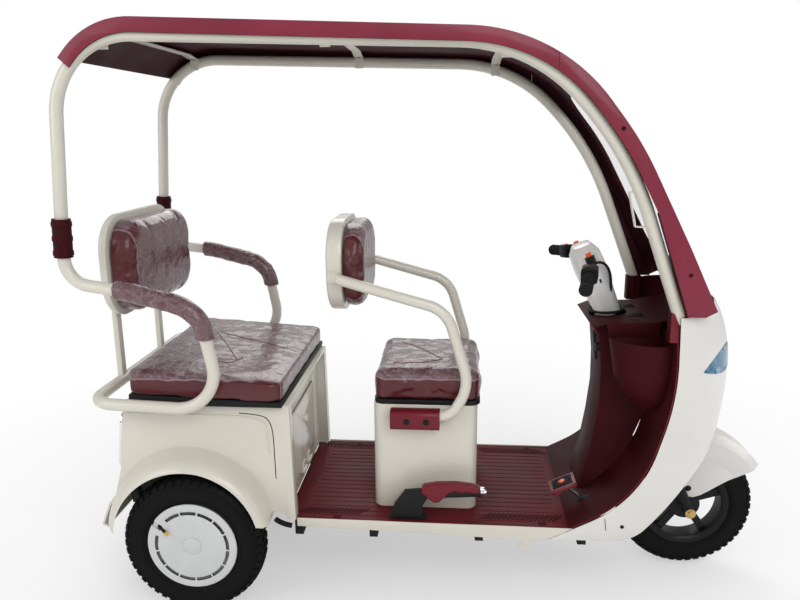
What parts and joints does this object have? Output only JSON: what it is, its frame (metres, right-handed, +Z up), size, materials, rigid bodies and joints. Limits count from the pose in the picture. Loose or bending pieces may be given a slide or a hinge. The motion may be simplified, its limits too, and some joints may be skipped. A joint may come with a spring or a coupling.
{
  "type": "electric tricycle",
  "caption": "Passenger electric tricycle with a fixed canopy, a driver's seat with arm tubes, a rear bench over a storage body, handlebar steering and spoked front wheel.",
  "frame": {"origin": "on the ground under the middle of the vehicle's box", "axes": "+X towards the front wheel, +Y to the vehicle's left, +Z up"},
  "size_m": [2.0752, 0.782, 1.7024],
  "materials": {
    "tyre": "matte moulded rubber",
    "wheel_cover_grey": "light grey satin paint",
    "black_alloy": "black painted cast alloy",
    "black_paint": "black gloss paint",
    "steel": "plain steel",
    "black_rubber": "ribbed black rubber",
    "black_plastic": "matte black",
    "maroon_plastic": "glossy maroon moulding",
    "dark_maroon_plastic": "satin dark maroon",
    "cream_paint": "glossy cream paint",
    "offwhite_plastic": "glossy off-white moulding",
    "maroon_vinyl": "maroon vinyl under clear wrapping film",
    "red_lens": "red lens",
    "lamp_lens": "clear lens with a blue tint",
    "chrome": "bright reflector",
    "clear_glass": "clear"
  },
  "bodies": {
    "chassis": {"chassis_frame": "black_paint", "head_tube": "black_paint", "front_uprights": "black_paint", "rear_axle": "black_paint", "drive_motor": "steel", "leaf_springs": "steel", "footboard": "maroon_plastic", "side_sills": "cream_paint", "front_apron": "offwhite_plastic", "leg_shield": "dark_maroon_plastic", "dash_panel": "dark_maroon_plastic", "glove_pockets": "dark_maroon_plastic", "canopy_tubes": "cream_paint", "roof_panel": "maroon_plastic", "windscreen_surround": "maroon_plastic", "windscreen": "clear_glass", "canopy_crossbars": "cream_paint", "canopy_collars": "dark_maroon_plastic", "rear_rail_tube": "cream_paint", "armrest_pads": "maroon_vinyl", "rear_backrest_shell": "cream_paint", "rear_backrest_cushion": "maroon_vinyl", "rear_body": "cream_paint", "bench_deck": "cream_paint", "storage_front": "cream_paint", "rear_tub": "black_plastic", "rear_bumper": "cream_paint", "tail_lamps": "red_lens", "tail_lamp_rims": "chrome", "driver_seat_box": "cream_paint", "battery_pack": "black_plastic", "driver_arm_tubes": "cream_paint", "arm_sockets": "dark_maroon_plastic", "driver_backrest_shell": "cream_paint", "driver_backrest_cushion": "maroon_vinyl", "parking_brake": "black_plastic", "brake_pedal": "steel", "headlamp_lenses": "lamp_lens", "headlamp_housings": "chrome", "wiper_bracket": "cream_paint"},
    "wheel_rear_right": {"tyre_rear_right": "tyre", "wheel_disc_rear_right": "wheel_cover_grey"},
    "wheel_rear_left": {"tyre_rear_left": "tyre", "wheel_disc_rear_left": "wheel_cover_grey"},
    "steering": {"fork": "black_paint", "front_mudguard": "offwhite_plastic", "handlebar": "black_paint", "handlebar_controls": "black_rubber", "headset_cover": "offwhite_plastic"},
    "wheel_front": {"tyre_front": "tyre", "wheel_rim_front": "black_alloy"},
    "storage_door": {"storage_door": "cream_paint"},
    "rear_seat_lid": {"bench_board": "black_plastic", "bench_cushion": "maroon_vinyl"},
    "driver_seat_lid": {"driver_board": "black_plastic", "driver_cushion": "maroon_vinyl"}
  },
  "joints": [
    {"name": "wheel_rear_right_spin", "type": "hinge", "parent": "chassis", "child": "wheel_rear_right", "pos_m": [-0.7, -0.343, 0.215], "axis": [0, 1, 0], "continuous": true},
    {"name": "wheel_rear_left_spin", "type": "hinge", "parent": "chassis", "child": "wheel_rear_left", "pos_m": [-0.7, 0.343, 0.215], "axis": [0, 1, 0], "continuous": true},
    {"name": "steering_turn", "type": "hinge", "parent": "chassis", "child": "steering", "pos_m": [0.822, 0, 0.215], "axis": [-0.4004, 0, 0.9164], "range_deg": [-28, 28]},
    {"name": "wheel_front_spin", "type": "hinge", "parent": "steering", "child": "wheel_front", "pos_m": [0.822, 0, 0.215], "axis": [0, 1, 0], "continuous": true},
    {"name": "storage_door_hinge", "type": "hinge", "parent": "chassis", "child": "storage_door", "pos_m": [-0.43, 0, 0.304], "axis": [0, 1, 0], "range_deg": [0, 90]},
    {"name": "rear_seat_hinge", "type": "hinge", "parent": "chassis", "child": "rear_seat_lid", "pos_m": [-0.424, 0, 0.64], "axis": [0, 1, 0], "range_deg": [0, 80]},
    {"name": "driver_seat_hinge", "type": "hinge", "parent": "chassis", "child": "driver_seat_lid", "pos_m": [0.152, 0, 0.61], "axis": [0, 1, 0], "range_deg": [0, 70]}
  ]
}
